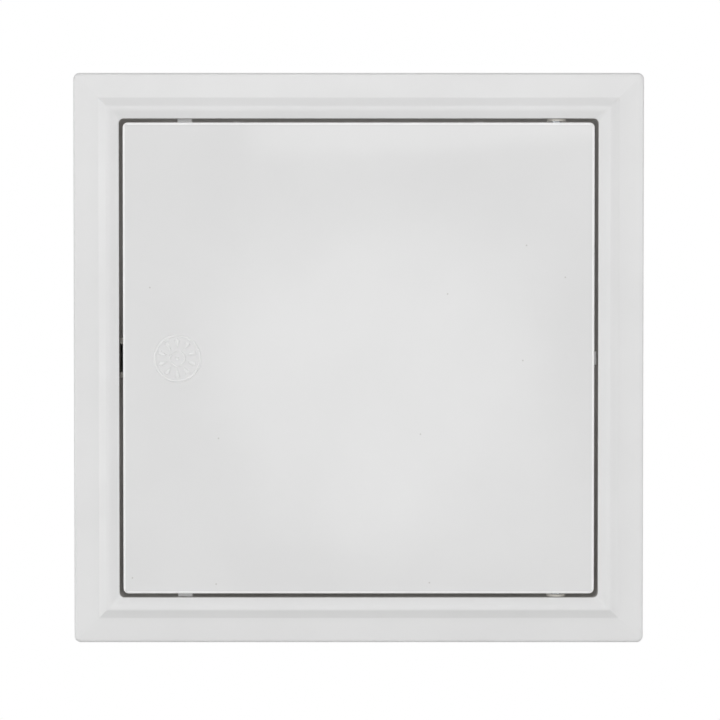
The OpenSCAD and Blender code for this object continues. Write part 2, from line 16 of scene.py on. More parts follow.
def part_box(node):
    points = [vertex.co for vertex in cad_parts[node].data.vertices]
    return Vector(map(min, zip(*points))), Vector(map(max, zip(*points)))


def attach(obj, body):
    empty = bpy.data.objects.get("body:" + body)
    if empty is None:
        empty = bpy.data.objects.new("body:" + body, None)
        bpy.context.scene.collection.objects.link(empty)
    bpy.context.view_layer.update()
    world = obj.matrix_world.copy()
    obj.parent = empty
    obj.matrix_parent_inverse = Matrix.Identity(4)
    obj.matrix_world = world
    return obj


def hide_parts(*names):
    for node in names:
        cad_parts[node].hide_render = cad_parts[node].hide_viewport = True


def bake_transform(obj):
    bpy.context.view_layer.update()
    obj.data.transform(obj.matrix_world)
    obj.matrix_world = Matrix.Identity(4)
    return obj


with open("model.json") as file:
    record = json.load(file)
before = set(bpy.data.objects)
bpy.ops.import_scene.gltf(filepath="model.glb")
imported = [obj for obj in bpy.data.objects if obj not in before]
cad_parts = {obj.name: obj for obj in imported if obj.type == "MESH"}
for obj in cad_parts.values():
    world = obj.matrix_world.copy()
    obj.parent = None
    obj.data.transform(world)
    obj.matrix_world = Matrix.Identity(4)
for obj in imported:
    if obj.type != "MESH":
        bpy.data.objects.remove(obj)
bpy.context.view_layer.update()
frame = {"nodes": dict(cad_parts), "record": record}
scene = bpy.context.scene
joints = {joint["name"]: joint for joint in frame["record"]["behaviour"]["joints"]}

MM = 0.001
HALF = 116.0  # half of the face
FACE = 18.6  # width of the face, outer edge to opening
OPENING = HALF - FACE
OUTER_ROUND = 2.6  # corner radius of the face
MITRE = 0.3  # corner radius where the bead's sides meet
MITRE_END = 14.0  # further in than this, the corner radius grows to the neck's
BEAD = 13.993  # top of the bead, in from the outer edge
LIP_Y = -5.4  # front of the opening's upright edge
NECK_WALL = 2.0
NECK_DEPTH = 42.0
NECK_ROUND = 2.0  # corner radius inside the neck
NECK_MIDDLE = OPENING + NECK_WALL / 2
BUSH_BORE = 3.02  # radius of the holes for the hinge bushes
FIXING_BORE = 2.25  # radius of the holes for the fixing screws
FIXING_X = 50.0
FIXING_Y = 26.0
WEBS = 5  # webs behind each side of the face
WEB_STEP = 38.0
WEB_THICK = 1.6
STOP_X = -70.8  # middle of the push stops
STOP_ROOT = OPENING + 0.8  # stops and brackets start inside the neck's wall
STOP = (2.95, -1.9, 1.1, 4.2, 0.25)  # half width, front, back, reach in from the neck's wall, rounding
BRACKET = (0.8, 0.8, 5.6, 2.0, 0.4)  # the same sizes of the bracket behind a stop
CORNER_STEPS = 8  # steps round a corner of frame and leaf
LEAF = 95.8  # half of the leaf
LEAF_FRONT = -6.0
LEAF_BACK = -3.6
LEAF_ROUND = 2.1  # corner radius of the leaf
LEAF_CROWN = 0.25  # how far the moulded leaf bows out in its middle
EDGE_ROUND = 0.7  # rounding of the leaf's front edge
EDGE_Y = LEAF_FRONT + EDGE_ROUND  # where that rounding starts
EDGE_HIGHLIGHT_WIDTH = 0.85  # width of the pale line painted as a highlight along the front edge
SIDE_STEPS = 24  # steps along a side of the leaf
FRONT_RINGS = (0.9, 1.4, 2.2, 4, 7, 11, 16, 22, 30, 39, 49, 60, 71, 81, 89)  # rings of the bowed front
RING_ROUND = 0.6  # smallest corner radius of those rings
EJECTORS = 4  # ejector marks in a row, and rows of them
EJECTOR_X = -54.9  # first column of ejector marks
EJECTOR_STEP = (41.4, 44.9)  # from mark to mark, across and up
MARK_X = -73.7  # middle of the push mark
MARK_FOOT = -0.1  # the mark's relief starts inside the plate
MARK_HIGH = 0.3
TICKS = 10
TICK_ROUND = 0.36
DOT_RADIUS = 0.7
DOT_HIGH = 0.26
HINGE_X = joints["leaf_swing"]["pos_m"][0] / MM
LATCH_X = joints["jaw_upper_pivot"]["pos_m"][0] / MM
TRACK_SOLID = 0.5  # radius of the track wire in the source
TRACK_WIRE = 0.45  # its radius here, which clears the carriage
TRACK_BEND = 0.85
TRACK_FOOT = 1.45  # from the wire's arm to the end of its foot
SCREW_Y = 24.0
SCREW_Z = 12.4
THREAD_X = -96.2  # the screws' threads start inside the posts


# Node trees


def put(tree, kind, plugs=None, **settings):
    """Add one node and give its outputs. settings are its properties, plugs its inputs by name or number."""
    made = tree.nodes.new(kind)
    for key, value in settings.items():
        setattr(made, key, value)
    for key, value in (plugs or {}).items():
        if isinstance(value, bpy.types.NodeSocket):
            tree.links.new(value, made.inputs[key])
        else:
            made.inputs[key].default_value = value
    return made.outputs


def linear(colour):
    """An sRGB hex colour as linear RGBA."""
    parts = [int(colour[i : i + 2], 16) / 255 for i in (1, 3, 5)]
    return [c / 12.92 if c <= 0.04045 else ((c + 0.055) / 1.055) ** 2.4 for c in parts] + [1.0]


def shape_tree(name, **inputs):
    """A geometry tree with named inputs, given as socket types; returns it and their sockets."""
    tree = bpy.data.node_groups.new(name, "GeometryNodeTree")
    for label, kind in {"Geometry": "NodeSocketGeometry", **inputs}.items():
        tree.interface.new_socket(label, in_out="INPUT", socket_type=kind)
    tree.interface.new_socket("Geometry", in_out="OUTPUT", socket_type="NodeSocketGeometry")
    return tree, put(tree, "NodeGroupInput")


def close_tree(tree, shape, material):
    """End a tree in plain geometry with its material."""
    real = put(tree, "GeometryNodeRealizeInstances", {0: shape})[0]
    done = put(tree, "GeometryNodeSetMaterial", {"Geometry": real, "Material": material})[0]
    put(tree, "NodeGroupOutput", {0: done})
    return tree


def on_bench(name, mesh):
    """Put a mesh in the scene for a while, to work on it with modifiers."""
    holder = bpy.data.objects.new(name, mesh)
    scene.collection.objects.link(holder)
    return holder


def off_bench(holder, *tools):
    """The mesh with its modifiers applied. The holder and its tools leave the scene."""
    mesh = bpy.data.meshes.new_from_object(
        holder.evaluated_get(bpy.context.evaluated_depsgraph_get())
    )
    holder.modifiers.clear()
    for each in (holder, *tools):
        bpy.data.objects.remove(each)
    return mesh


def grown(tree, mesh, **sizes):
    """Run a tree on a mesh and keep the result as a plain mesh."""
    holder = on_bench(tree.name, mesh)
    modifier = holder.modifiers.new(tree.name, "NODES")
    modifier.node_group = tree
    for item in tree.interface.items_tree:
        if item.in_out == "INPUT" and item.name in sizes:
            modifier[item.identifier] = sizes[item.name]
    return off_bench(holder)


def sweep_tree():
    """A section swept round a square.

    The section's points hold how far in, how far out and the corner radius.
    """
    tree, given = shape_tree(
        "section_round_square",
        half="NodeSocketFloat",
        corner_steps="NodeSocketInt",
        material="NodeSocketMaterial",
    )
    count = put(tree, "GeometryNodeAttributeDomainSize", {0: given["Geometry"]})["Point Count"]
    fan = put(tree, "FunctionNodeIntegerMath", {0: given["corner_steps"], 1: 1}, operation="ADD")[0]
    loop = put(tree, "FunctionNodeIntegerMath", {0: fan, 1: 4}, operation="MULTIPLY")[0]
    across = put(tree, "FunctionNodeIntegerMath", {0: count, 1: 1}, operation="ADD")[0]
    around = put(tree, "FunctionNodeIntegerMath", {0: loop, 1: 1}, operation="ADD")[0]
    grid = put(tree, "GeometryNodeMeshGrid", {"Vertices X": around, "Vertices Y": across})[0]
    # each point of the grid: its station round the square and its point of the section
    index = put(tree, "GeometryNodeInputIndex")[0]
    station = put(tree, "FunctionNodeIntegerMath", {0: index, 1: across}, operation="DIVIDE")[0]
    station = put(tree, "FunctionNodeIntegerMath", {0: station, 1: loop}, operation="MODULO")[0]
    corner = put(tree, "FunctionNodeIntegerMath", {0: station, 1: fan}, operation="DIVIDE")[0]
    step = put(tree, "FunctionNodeIntegerMath", {0: station, 1: fan}, operation="MODULO")[0]
    point = put(tree, "FunctionNodeIntegerMath", {0: index, 1: across}, operation="MODULO")[0]
    point = put(tree, "FunctionNodeIntegerMath", {0: point, 1: count}, operation="MODULO")[0]
    place = put(tree, "GeometryNodeInputPosition")[0]
    section = put(
        tree,
        "GeometryNodeSampleIndex",
        {"Geometry": given["Geometry"], "Value": place, "Index": point},
        data_type="FLOAT_VECTOR",
        domain="POINT",
    )[0]
    inward, outward, radius = put(tree, "ShaderNodeSeparateXYZ", {0: section})
    # the corner's centre lies on the diagonal, and the point on an arc about it
    part = put(tree, "ShaderNodeMath", {0: step, 1: given["corner_steps"]}, operation="DIVIDE")[0]
    turn = put(tree, "ShaderNodeMath", {0: corner, 1: part}, operation="ADD")[0]
    turn = put(tree, "ShaderNodeMath", {0: turn, 1: math.pi / 2}, operation="MULTIPLY")[0]
    diagonal = put(tree, "ShaderNodeMath", {0: corner, 1: 0.5}, operation="ADD")[0]
    diagonal = put(tree, "ShaderNodeMath", {0: diagonal, 1: math.pi / 2}, operation="MULTIPLY")[0]
    reach = put(tree, "ShaderNodeMath", {0: given["half"], 1: inward}, operation="SUBTRACT")[0]
    reach = put(tree, "ShaderNodeMath", {0: reach, 1: radius}, operation="SUBTRACT")[0]
    reach = put(tree, "ShaderNodeMath", {0: reach, 1: math.sqrt(2)}, operation="MULTIPLY")[0]
    flat = []
    for side in ("COSINE", "SINE"):
        centre = put(tree, "ShaderNodeMath", {0: diagonal}, operation=side)[0]
        arm = put(tree, "ShaderNodeMath", {0: turn}, operation=side)[0]
        arm = put(tree, "ShaderNodeMath", {0: arm, 1: radius}, operation="MULTIPLY")[0]
        flat += put(tree, "ShaderNodeMath", {0: centre, 1: reach, 2: arm}, operation="MULTIPLY_ADD")
    back = put(tree, "ShaderNodeMath", {0: outward, 1: -1.0}, operation="MULTIPLY")[0]
    there = put(tree, "ShaderNodeCombineXYZ", {0: flat[0], 1: back, 2: flat[1]})[0]
    swept = put(tree, "GeometryNodeSetPosition", {"Geometry": grid, "Position": there})[0]
    swept = put(tree, "GeometryNodeMergeByDistance", {"Geometry": swept, "Distance": 0.002 * MM})[0]
    return close_tree(tree, swept, given["material"])


def row_tree():
    """Copies of a shape in a straight row."""
    tree, given = shape_tree(
        "row_of_copies", count="NodeSocketInt", step="NodeSocketVector", material="NodeSocketMaterial"
    )
    line = put(tree, "GeometryNodeMeshLine", {"Count": given["count"], "Offset": given["step"]})[0]
    copies = put(
        tree, "GeometryNodeInstanceOnPoints", {"Points": line, "Instance": given["Geometry"]}
    )[0]
    return close_tree(tree, copies, given["material"])


def turn_tree():
    """Copies of a shape turned about the Y axis, evenly round a circle."""
    tree, given = shape_tree(
        "turned_copies", count="NodeSocketInt", first="NodeSocketFloat", material="NodeSocketMaterial"
    )
    line = put(tree, "GeometryNodeMeshLine", {"Count": given["count"], "Offset": (0, 0, 0)})[0]
    index = put(tree, "GeometryNodeInputIndex")[0]
    part = put(tree, "ShaderNodeMath", {0: index, 1: given["count"]}, operation="DIVIDE")[0]
    angle = put(
        tree, "ShaderNodeMath", {0: part, 1: math.tau, 2: given["first"]}, operation="MULTIPLY_ADD"
    )[0]
    spin = put(tree, "FunctionNodeAxisAngleToRotation", {"Axis": (0, 1, 0), "Angle": angle})[0]
    copies = put(
        tree,
        "GeometryNodeInstanceOnPoints",
        {"Points": line, "Instance": given["Geometry"], "Rotation": spin},
    )[0]
    return close_tree(tree, copies, given["material"])


def coil_tree():
    """Wire along a helix, with its axis on Z, standing on the origin."""
    tree, given = shape_tree(
        "wire_coil",
        turns="NodeSocketFloat",
        radius="NodeSocketFloat",
        height="NodeSocketFloat",
        wire="NodeSocketFloat",
        sides="NodeSocketInt",
        material="NodeSocketMaterial",
    )
    helix = put(
        tree,
        "GeometryNodeCurveSpiral",
        {
            "Resolution": 40,
            "Rotations": given["turns"],
            "Start Radius": given["radius"],
            "End Radius": given["radius"],
            "Height": given["height"],
        },
    )[0]
    section = put(
        tree, "GeometryNodeCurvePrimitiveCircle", {"Resolution": given["sides"], "Radius": given["wire"]}
    )[0]
    wire = put(
        tree, "GeometryNodeCurveToMesh", {"Curve": helix, "Profile Curve": section, "Fill Caps": True}
    )[0]
    return close_tree(tree, wire, given["material"])


def bent_tree():
    """Wire along a line of points, bent at each of them."""
    tree, given = shape_tree(
        "bent_wire", wire="NodeSocketFloat", bend="NodeSocketFloat", material="NodeSocketMaterial"
    )
    line = put(tree, "GeometryNodeMeshToCurve", {0: given["Geometry"]})[0]
    line = put(
        tree, "GeometryNodeFilletCurve", {"Curve": line, "Radius": given["bend"], "Count": 7}, mode="POLY"
    )[0]
    section = put(
        tree, "GeometryNodeCurvePrimitiveCircle", {"Resolution": 20, "Radius": given["wire"]}
    )[0]
    bent = put(
        tree, "GeometryNodeCurveToMesh", {"Curve": line, "Profile Curve": section, "Fill Caps": True}
    )[0]
    return close_tree(tree, bent, given["material"])


# Materials

SPECK_CORE, SPECK_RIM = 0.2, 0.42  # radius of a speck's dark core and of its faded rim
SPECK_BARE = 0.55  # share of the squares that hold no speck


def moulded(name, pale, deep, rough, swing, cloud, peel, height, ior=1.53, specks=0.0, shine=0.5):
    """A moulded plastic.

    rough and swing are its roughness and how far that varies. cloud and peel are the widths of its
    colour drift and surface waves, height the depth of the waves and specks the width of the squares
    that may hold one dark speck, all in millimetres.
    """
    made = bpy.data.materials.new(name)
    made.use_nodes = True
    tree = made.node_tree
    tree.nodes.clear()
    place = put(tree, "ShaderNodeTexCoord")["Object"]
    drift = put(tree, "ShaderNodeTexNoise", {"Vector": place, "Scale": 1000 / cloud, "Detail": 3.0})["Fac"]
    share = put(tree, "ShaderNodeMapRange", {"Value": drift, "From Min": 0.35, "From Max": 0.65})[0]
    # a mix node takes its two colours at 6 and 7 and gives the mix at 2
    colour = put(
        tree, "ShaderNodeMix", {0: share, 6: linear(pale), 7: linear(deep)}, data_type="RGBA"
    )[2]
    if specks:
        # specks of scorched resin, seen from the front
        x, _, z = put(tree, "ShaderNodeSeparateXYZ", {0: place})
        flat = put(tree, "ShaderNodeCombineXYZ", {0: x, 1: z})[0]
        cell = put(
            tree, "ShaderNodeTexVoronoi", {"Vector": flat, "Scale": 1000 / specks}, voronoi_dimensions="2D"
        )
        dot = put(
            tree,
            "ShaderNodeMapRange",
            {
                "Value": cell["Distance"],
                "From Min": SPECK_CORE / specks,
                "From Max": SPECK_RIM / specks,
                "To Min": 0.4,
                "To Max": 0.0,
            },
        )[0]
        pick = put(tree, "ShaderNodeSeparateColor", {0: cell["Color"]})[0]
        pick = put(tree, "ShaderNodeMath", {0: pick, 1: SPECK_BARE}, operation="GREATER_THAN")[0]
        dot = put(tree, "ShaderNodeMath", {0: dot, 1: pick}, operation="MULTIPLY")[0]
        colour = put(tree, "ShaderNodeMix", {0: dot, 6: colour, 7: linear("#8F8A82")}, data_type="RGBA")[2]
    haze = put(tree, "ShaderNodeTexNoise", {"Vector": place, "Scale": 2500 / cloud, "Detail": 4.0})["Fac"]
    gloss = put(
        tree,
        "ShaderNodeMapRange",
        {"Value": haze, "From Min": 0.3, "From Max": 0.7, "To Min": rough - swing, "To Max": rough + swing},
    )[0]
    wave = put(tree, "ShaderNodeTexNoise", {"Vector": place, "Scale": 1000 / peel, "Detail": 2.0})["Fac"]
    bump = put(tree, "ShaderNodeBump", {"Strength": 1.0, "Distance": height * MM, "Height": wave})[0]
    skin = put(
        tree,
        "ShaderNodeBsdfPrincipled",
        {"Base Color": colour, "Roughness": gloss, "IOR": ior, "Specular IOR Level": shine, "Normal": bump},
    )[0]
    put(tree, "ShaderNodeOutputMaterial", {0: skin})
    return made


def metal(name, pale, deep, rough, swing, grain, finer, height):
    """A metal.

    rough and swing are its roughness and how far that varies. grain is the width of its marks and
    height their depth, in millimetres, and finer how much finer they are along each axis.
    """
    made = bpy.data.materials.new(name)
    made.use_nodes = True
    tree = made.node_tree
    tree.nodes.clear()
    place = put(tree, "ShaderNodeTexCoord")["Object"]
    lie = put(tree, "ShaderNodeMapping", {"Vector": place, "Scale": finer})[0]
    marks = put(tree, "ShaderNodeTexNoise", {"Vector": lie, "Scale": 1000 / grain, "Detail": 3.0})["Fac"]
    share = put(tree, "ShaderNodeMapRange", {"Value": marks, "From Min": 0.35, "From Max": 0.65})[0]
    colour = put(
        tree, "ShaderNodeMix", {0: share, 6: linear(pale), 7: linear(deep)}, data_type="RGBA"
    )[2]
    gloss = put(
        tree,
        "ShaderNodeMapRange",
        {"Value": marks, "From Min": 0.3, "From Max": 0.7, "To Min": rough - swing, "To Max": rough + swing},
    )[0]
    bump = put(tree, "ShaderNodeBump", {"Strength": 1.0, "Distance": height * MM, "Height": marks})[0]
    skin = put(
        tree,
        "ShaderNodeBsdfPrincipled",
        {"Base Color": colour, "Metallic": 1.0, "Roughness": gloss, "Normal": bump},
    )[0]
    put(tree, "ShaderNodeOutputMaterial", {0: skin})
    return made


# ABS from a polished mould: clean white with soft, slightly wavy reflections and a few dark specks
polished_abs = moulded(
    "polished_white_abs", "#DDDDDD", "#DADADA",
    rough=0.04, swing=0.01, cloud=60, peel=46, height=0.07, specks=42,
)
# ABS from a mould with a fine satin finish: the same white, broad soft highlights
satin_abs = moulded(
    "satin_white_abs", "#E2E2E2", "#DFDFDF",
    rough=0.42, swing=0.04, cloud=45, peel=1.6, height=0.002,
)
# ABS from a spark-eroded mould, inside the neck: a coarse matt grain that swallows glancing light, with
# painted shade: its colour is darker than the white face's, to darken the inside of the neck
eroded_abs_painted_shade = moulded(
    "eroded_white_abs_painted_shade", "#C1BEBB", "#B8B5B2",
    rough=0.72, swing=0.05, cloud=30, peel=0.45, height=0.03, shine=0.0,
)
# ABS frosted in the mould, with a painted highlight: the relief's colour is a shade lighter than the
# polished face round it
frosted_abs_painted_highlight = moulded(
    "frosted_white_abs_painted_highlight", "#E7E7E7", "#E3E3E3",
    rough=0.5, swing=0.05, cloud=20, peel=0.6, height=0.003,
)
# white ABS with a painted highlight: a pale, dull line along the leaf's front edge, lighter than the face
edge_highlight_abs = moulded(
    "white_abs_painted_edge_highlight", "#F4F4F4", "#F0F0F0",
    rough=0.45, swing=0.05, cloud=25, peel=0.5, height=0.004,
)
# natural nylon: milky, faintly warm, with a dull waxy surface
nylon = moulded(
    "moulded_natural_nylon", "#DCD9D2", "#CFCBC3",
    rough=0.46, swing=0.06, cloud=9, peel=0.8, height=0.006,
)
# grey acetal: dense and even, slippery sheen
acetal = moulded(
    "moulded_grey_acetal", "#7C7E80", "#6F7173",
    rough=0.34, swing=0.05, cloud=7, peel=0.7, height=0.004, ior=1.48,
)
# bright zinc on turned steel: pale, faintly blue, with fine turning marks round the pin
zinc = metal(
    "bright_zinc_plated_steel", "#C9CCCF", "#AEB3B8",
    rough=0.3, swing=0.07, grain=0.9, finer=(0.25, 0.25, 2.0), height=0.003,
)
# drawn spring wire: darker grey with drawing lines along it
wire_steel = metal(
    "drawn_spring_wire", "#A7AAAC", "#85888B",
    rough=0.36, swing=0.08, grain=0.6, finer=(1.0, 0.3, 1.0), height=0.003,
)


# Meshes


def smooth(mesh, crease=35.0):
    """Smooth shading with edges kept where the surface turns by more than the crease, in degrees."""
    mesh.polygons.foreach_set("use_smooth", [True] * len(mesh.polygons))
    mesh.set_sharp_from_angle(angle=math.radians(crease))
    return mesh


def finished(shape, crease=35.0):
    """A bmesh as a plain mesh with outward faces."""
    bmesh.ops.dissolve_degenerate(shape, dist=0.0005 * MM, edges=shape.edges)
    bmesh.ops.recalc_face_normals(shape, faces=shape.faces)
    mesh = bpy.data.meshes.new("mesh")
    shape.to_mesh(mesh)
    shape.free()
    return smooth(mesh, crease)


def flattened(mesh):
    """Shade the flats as flats and leave the turn to the rounded edges."""
    holder = on_bench("holder", mesh)
    weigh = holder.modifiers.new("flats", "WEIGHTED_NORMAL")
    weigh.keep_sharp = True
    weigh.weight = 80
    return off_bench(holder)


def piece(name, mesh, body, material, slot, *nodes):
    """Put a finished mesh in the scene, on its body if it rides on one, for the nodes it stands for."""
    mesh.name = name
    mesh.materials.clear()
    mesh.materials.append(material)
    made = bpy.data.objects.new(name, mesh)
    scene.collection.objects.link(made)
    if body:
        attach(made, body)
    if nodes:
        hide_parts(*nodes)
    return made


def arc(x, y, radius, start, end, steps):
    """Points on an arc, in degrees."""
    angles = [math.radians(start + (end - start) * k / steps) for k in range(steps + 1)]
    return [(x + radius * math.cos(a), y + radius * math.sin(a)) for a in angles]


def rounded(shape, edges, radius, segments):
    """Round some edges of a bmesh. The radius is in metres."""
    bmesh.ops.bevel(
        shape, geom=edges, offset=radius, segments=segments, profile=0.5, affect="EDGES", clamp_overlap=True
    )


def block(shape, low, high, edge):
    """Add a box between two corners, in millimetres, with rounded edges."""
    made = bmesh.ops.create_cube(shape, size=1.0)["verts"]
    size = [(b - a) * MM for a, b in zip(low, high)]
    middle = Vector([(a + b) / 2 * MM for a, b in zip(low, high)])
    bmesh.ops.transform(
        shape, matrix=Matrix.Translation(middle) @ Matrix.Diagonal((*size, 1.0)), verts=made
    )
    edges = list(dict.fromkeys(e for v in made for e in v.link_edges))
    rounded(shape, edges, edge * MM, 2)


def plate(outline, from_z, to_z):
    """A flat plate given by its X and Y outline, in millimetres, between two heights."""
    shape = bmesh.new()
    face = shape.faces.new([shape.verts.new((x * MM, y * MM, from_z * MM)) for x, y in outline])
    top = bmesh.ops.extrude_face_region(shape, geom=[face])["geom"]
    bmesh.ops.translate(
        shape, vec=(0, 0, (to_z - from_z) * MM), verts=[v for v in top if isinstance(v, bmesh.types.BMVert)]
    )
    return shape


def turned(shape, outline, axis, centre, ring=True, steps=64):
    """Add a turned form. outline is (radius, height) along the axis, a closed ring or open onto the axis."""
    lie = Matrix.Translation(Vector(centre) * MM) @ Vector(axis).to_track_quat("Z", "Y").to_matrix().to_4x4()
    loops = []
    for radius, height in outline:
        angles = [math.tau * k / steps for k in range(steps if radius else 1)]
        spots = [Vector((radius * math.cos(a), radius * math.sin(a), height)) * MM for a in angles]
        loops.append([shape.verts.new(lie @ spot) for spot in spots])
    pairs = list(zip(loops, loops[1:]))
    if ring:
        pairs.append((loops[-1], loops[0]))
    for a, b in pairs:
        for k in range(steps):
            n = (k + 1) % steps
            corners = [a[k % len(a)], a[n % len(a)], b[n % len(b)], b[k % len(b)]]
            shape.faces.new(list(dict.fromkeys(corners)))


def bored(mesh, bores):
    """Drill round holes, each (centre, axis, radius, length) in millimetres."""
    drill = bmesh.new()
    for centre, axis, radius, length in bores:
        end = length / 2
        outline = [(0, -end), (radius, -end), (radius, end), (0, end)]
        turned(drill, outline, axis, centre, ring=False, steps=48)
    tool = on_bench("drill", finished(drill))
    stock = on_bench("stock", mesh)
    cut = stock.modifiers.new("bores", "BOOLEAN")
    cut.operation = "DIFFERENCE"
    cut.solver = "EXACT"
    cut.object = tool
    return off_bench(stock, tool)


FLAT_ANGLE = math.radians(0.5)  # faces that turn by less are one flat
SHARP_ANGLE = math.radians(30)  # edges that turn by more are rounded
SMALL_SHARE = 0.1  # the most that rounding takes of a small hole or peg
CUT_CLEAR = 0.01  # a form is cut off this far behind the plate, in millimetres
SUNK = 0.6  # and its cut edge is then drawn this far into the plate


def softened(node, edge, behind=None):
    """Copy of a source solid with its sharp edges rounded. behind keeps only what lies behind that depth."""
    shape = bmesh.new()
    shape.from_mesh(frame["nodes"][node].data)
    bmesh.ops.remove_doubles(shape, verts=shape.verts, dist=0.001 * MM)
    if behind is not None:
        bmesh.ops.bisect_plane(
            shape,
            geom=shape.verts[:] + shape.edges[:] + shape.faces[:],
            dist=0.0001 * MM,
            plane_co=(0, (behind + CUT_CLEAR) * MM, 0),
            plane_no=(0, -1, 0),
            clear_outer=True,
        )
        rim = [e for e in shape.edges if e.is_boundary]
        for vert in {v for e in rim for v in e.verts}:
            vert.co.y = (behind - SUNK) * MM
        bmesh.ops.triangle_fill(shape, use_beauty=True, edges=rim, normal=(0, -1, 0))
    bmesh.ops.dissolve_limit(shape, angle_limit=FLAT_ANGLE, verts=shape.verts, edges=shape.edges)
    # edges that meet make one run; a dict keeps their order, so the script gives the same mesh each time
    sharp = dict.fromkeys(
        e for e in shape.edges if len(e.link_faces) == 2 and e.calc_face_angle(0.0) > SHARP_ANGLE
    )
    runs = []
    while sharp:
        run, reach = [], [sharp.popitem()[0]]
        while reach:
            here = reach.pop()
            run.append(here)
            near = [e for e in dict.fromkeys(e for v in here.verts for e in v.link_edges) if e in sharp]
            for e in near:
                del sharp[e]
            reach += near
        runs.append(run)
    for run in runs:
        spots = [v.co for e in run for v in e.verts]
        span = max(max(s[i] for s in spots) - min(s[i] for s in spots) for i in range(3))
        rounded(shape, run, min(edge * MM, SMALL_SHARE * span), 3)
    return flattened(finished(shape))


rows = row_tree()
turns = turn_tree()
coil = coil_tree()


# Frame

FACE_CREASE = 28.0  # edges of the frame that turn by more, in degrees, stay crisp


def face_section():
    """Section of face and neck: how far in from the outer edge, how far out from the wall, corner radius."""
    # outer edge and outer slope
    front = [(0.25, 0.0), (0.0, 0.25), (0.0, 2.6)]
    front += arc(1.3, 2.9, 1.3, 180, 97, 8)
    front += [(1.6, 4.25), (4.0, 4.54), (7.0, 4.91), (9.9, 5.26), (10.15, 5.31), (10.4, 5.43)]
    # step up to the bead, the bead's crown, and the slope down to the lip
    front += [(11.4, 6.06), (12.5, 6.75)]
    front += arc(BEAD, 6.15, 1.3, 122.2, 90, 6)
    front += arc(BEAD, 2.45, 5.0, 90, 64, 8)[1:]
    front += [(16.7, 6.69), (17.7, 6.2)]
    front += arc(18.1, 5.454, 0.5, 64, 0, 5)
    section = []
    for t, h in front:
        if t < MITRE_END:
            radius = max(MITRE, OUTER_ROUND - t)
        else:
            radius = MITRE + (t - MITRE_END) / (FACE - MITRE_END) * (NECK_ROUND - MITRE)
        section.append((t, h, radius))
    # neck, down its inside and back up its outside
    end, outside = -NECK_DEPTH, FACE - NECK_WALL
    neck = [(FACE, 4.9), (FACE, end + 0.6), (FACE - 0.1, end + 0.2), (FACE - 0.4, end)]
    neck += [(outside + 0.4, end), (outside + 0.1, end + 0.2), (outside, end + 0.6)]
    neck += [(outside, 4.2), (outside - 0.3, 4.8), (outside - 0.9, 5.0)]
    section += [(t, h, NECK_ROUND + FACE - t) for t, h in neck]
    # hollow behind the face
    section += [(13.5, 5.0, 2.6), (10.6, 3.1, 1.2), (3.2, 2.24, 0.5)]
    section += [(2.75, 2.05, 0.4), (2.6, 1.6, 0.4), (2.6, 0.2, 0.4), (2.4, 0.0, 0.5)]
    return section


section_mesh = bpy.data.meshes.new("face_section")
section_mesh.from_pydata([[c * MM for c in p] for p in face_section()], [], [])
swept = grown(sweep_tree(), section_mesh, half=HALF * MM, corner_steps=CORNER_STEPS, material=satin_abs)
shape = bmesh.new()
shape.from_mesh(swept)
swept = finished(shape, FACE_CREASE)
drill_length = 3 * NECK_WALL
bores = [((HINGE_X, 0, s * NECK_MIDDLE), (0, 0, 1), BUSH_BORE, drill_length) for s in (-1, 1)]
bores += [
    ((x, FIXING_Y, s * NECK_MIDDLE), (0, 0, 1), FIXING_BORE, drill_length)
    for x in (-FIXING_X, FIXING_X)
    for s in (-1, 1)
]
swept = smooth(bored(swept, bores), FACE_CREASE)
moulding = piece("frame_moulding", swept, "frame", satin_abs, "white_abs", "frame")
# the inside of the neck has the eroded grain and its painted shade, as far as the rounding at its end
moulding.data.materials.append(eroded_abs_painted_shade)
shaded_grain_end, shaded_grain_wide = (NECK_DEPTH - 0.7) * MM, (OPENING + 0.2) * MM
for each in moulding.data.polygons:
    wide = max(abs(each.center.x), abs(each.center.z))
    if LIP_Y * MM < each.center.y < shaded_grain_end and wide < shaded_grain_wide:
        each.material_index = 1

# webs behind the face, set a little into it: how far in from the outer edge, how far out from the wall
web_outline = [(2.5, 0.5), (2.5, 2.3), (10.6, 3.2), (13.5, 5.1), (16.5, 5.1), (16.7, 0.5)]
first_web = -(WEBS - 1) / 2 * WEB_STEP
web = plate(
    [(HALF - t, -h) for t, h in web_outline], first_web - WEB_THICK / 2, first_web + WEB_THICK / 2
)
webs = grown(rows, finished(web), count=WEBS, step=(0, 0, WEB_STEP * MM), material=satin_abs)
webs = grown(turns, webs, count=4, first=0.0, material=satin_abs)
piece("frame_webs", smooth(webs), "frame", satin_abs, "white_abs")

# push stops on small brackets, and the hollow posts of the latch screws, by radius and height on the neck
post_outline = [(1.5, 0.4), (1.5, 6.0), (3.2, 6.0), (3.45, 5.8), (3.5, 5.5)]
post_outline += [(3.5, 0.9), (3.9, 0.2), (4.3, -0.2), (1.5, -0.2)]
shape = bmesh.new()
for s in (-1, 1):
    for half, front, back, reach, edge in (STOP, BRACKET):
        low, high = sorted((s * (OPENING - reach), s * STOP_ROOT))
        block(shape, (STOP_X - half, front, low), (STOP_X + half, back, high), edge)
    turned(shape, post_outline, (1, 0, 0), (-OPENING, SCREW_Y, s * SCREW_Z), steps=40)
piece("frame_stops_and_posts", finished(shape), "frame", satin_abs, "white_abs")


# Leaf


def crown(x, z):
    """How far the leaf's front bows out at a place, in millimetres."""
    return LEAF_CROWN * max(0.0, 1 - (x / LEAF) ** 2) * max(0.0, 1 - (z / LEAF) ** 2)


def corner_point(half, radius, corner, part):
    """A point on a round corner of a square, part of the way round that corner."""
    reach = (half - radius) * math.sqrt(2)
    middle = math.radians(45 + 90 * corner)
    turn = math.radians(90 * corner + 90 * part)
    return tuple(reach * f(middle) + radius * f(turn) for f in (math.cos, math.sin))


